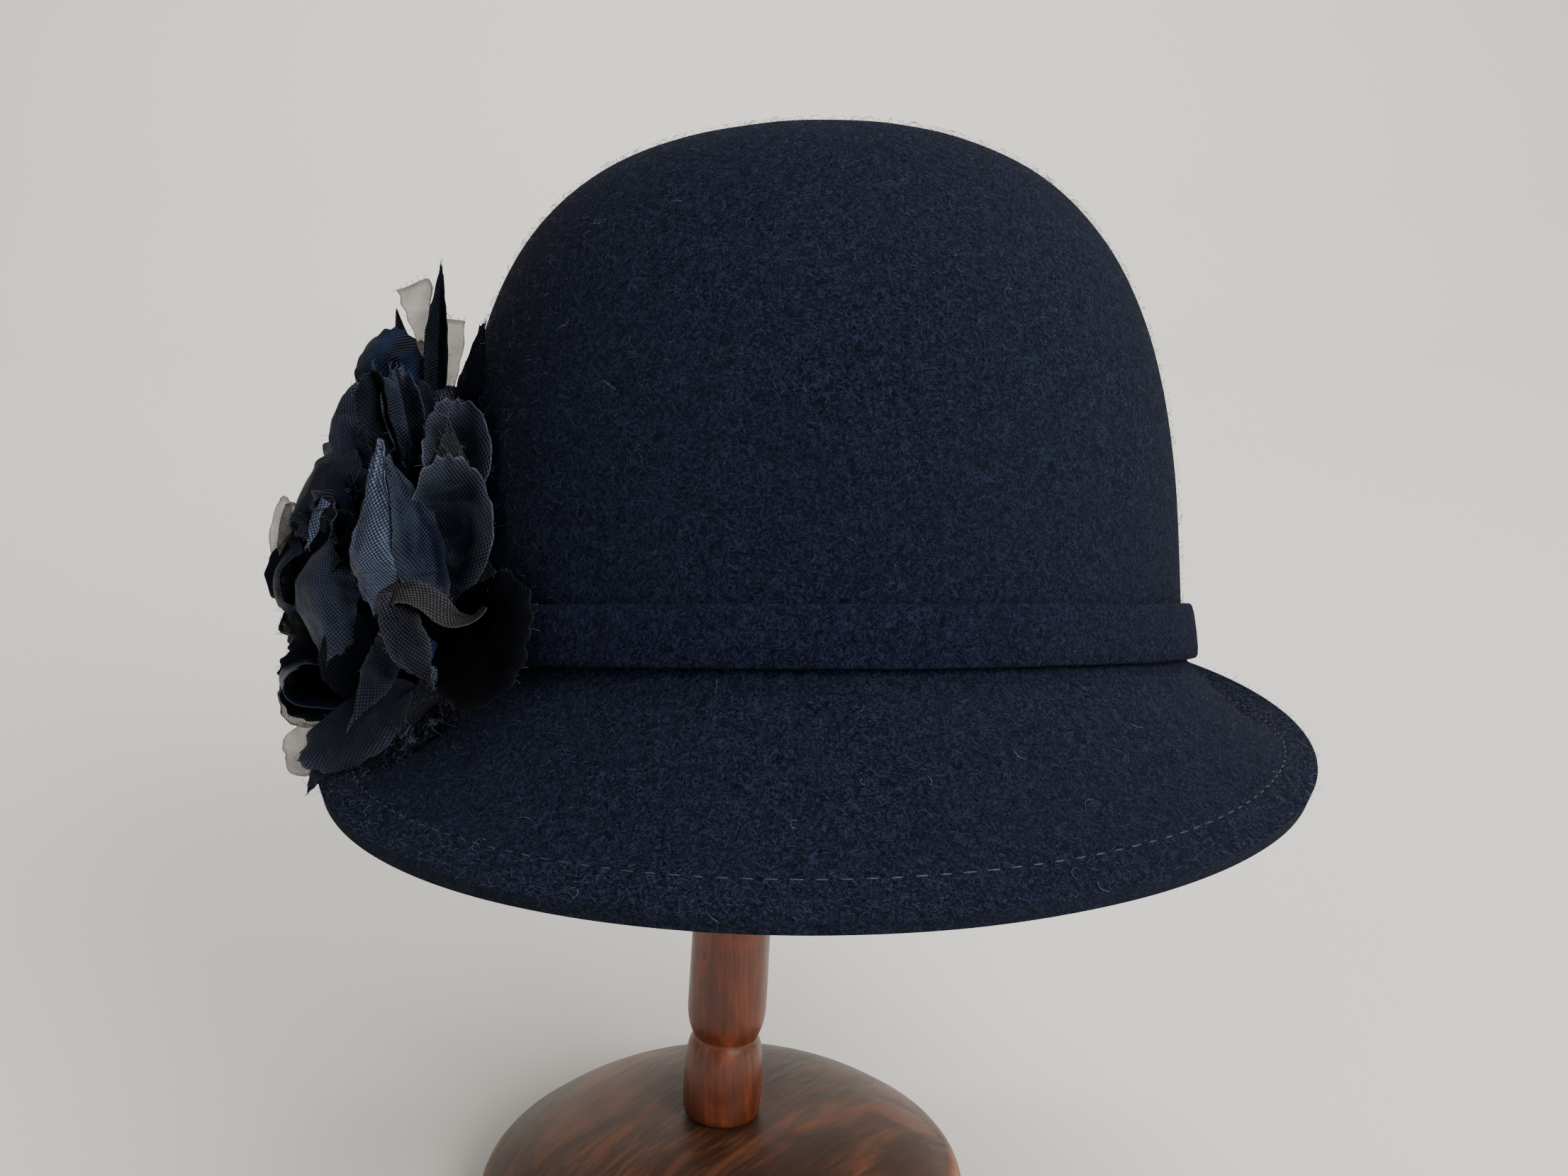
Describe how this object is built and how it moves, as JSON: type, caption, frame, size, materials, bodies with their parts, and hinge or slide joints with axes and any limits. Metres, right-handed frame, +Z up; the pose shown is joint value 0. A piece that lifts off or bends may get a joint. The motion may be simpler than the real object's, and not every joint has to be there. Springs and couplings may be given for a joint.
{
  "type": "felt cloche hat on a wooden stand",
  "caption": "Wool felt cloche hat with a domed crown, narrow felt band, downturned stitched brim and a large cloth flower, on a plain turned wooden hat stand.",
  "frame": {"origin": "centre of the underside of the stand's base", "axes": "+Z up, -Y towards the hat's front, +X to the side away from the flower"},
  "size_m": [0.2418, 0.2655, 0.2833],
  "materials": {
    "felt": "matt navy wool felt",
    "band": "matt navy wool felt strip",
    "satin": "navy satin",
    "organza": "sheer organza",
    "grosgrain": "ribbed navy ribbon",
    "velvet": "navy velvet",
    "post": "satin red-brown stain",
    "base": "worn satin dark stain"
  },
  "bodies": {
    "root": {"felt_band": "band", "felt_body": "felt", "flower_backing": "velvet", "flower_bud": "satin", "organza_left": "organza", "organza_lower": "organza", "organza_top_left": "organza", "organza_top_right": "organza", "petal_back_inner": "satin", "petal_back_inner_low": "satin", "petal_back_lower": "satin", "petal_back_middle": "satin", "petal_back_upper": "satin", "petal_centre_fold": "satin", "petal_centre_satin": "satin", "petal_curled_strip": "satin", "petal_dark_round": "satin", "petal_left_lower": "satin", "petal_left_upper": "satin", "petal_lower": "satin", "petal_lower_left_loop": "satin", "petal_right_large": "satin", "petal_right_tip": "satin", "petal_right_upper": "satin", "petal_top_spike": "satin", "petal_upper_fold": "satin", "petal_upper_left": "satin", "ribbon_loop_top": "grosgrain", "stand_base": "base", "stand_post": "post", "stand_top": "base", "strip_lower": "satin", "strip_upper": "satin", "velvet_strip": "velvet"}
  },
  "joints": []
}
